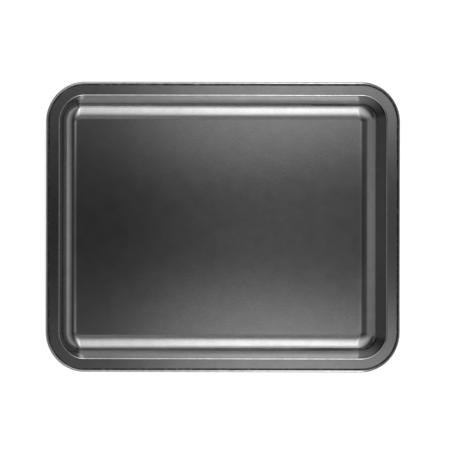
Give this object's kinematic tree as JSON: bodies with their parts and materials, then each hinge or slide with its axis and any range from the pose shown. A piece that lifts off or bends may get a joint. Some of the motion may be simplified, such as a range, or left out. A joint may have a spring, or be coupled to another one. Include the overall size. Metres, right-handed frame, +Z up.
{
  "type": "cookie sheet",
  "caption": "Rectangular cookie sheet with a flat base, shallow sloping walls, rounded corners and a flat flange that ends in a wired rim; dark non-stick steel.",
  "frame": {"origin": "centre of the base's underside, on the surface that the tray stands on", "axes": "+X along the long side, +Y along the short side, +Z up out of the well"},
  "size_m": [0.42, 0.336, 0.0263],
  "materials": {
    "nonstick_steel": "dark neutral grey non-stick coating on steel, satin, finely speckled",
    "wire_steel": "plain drawn steel wire, dull bright"
  },
  "bodies": {
    "root": {"tray_pan": "nonstick_steel", "rim_wire": "wire_steel"}
  },
  "joints": []
}
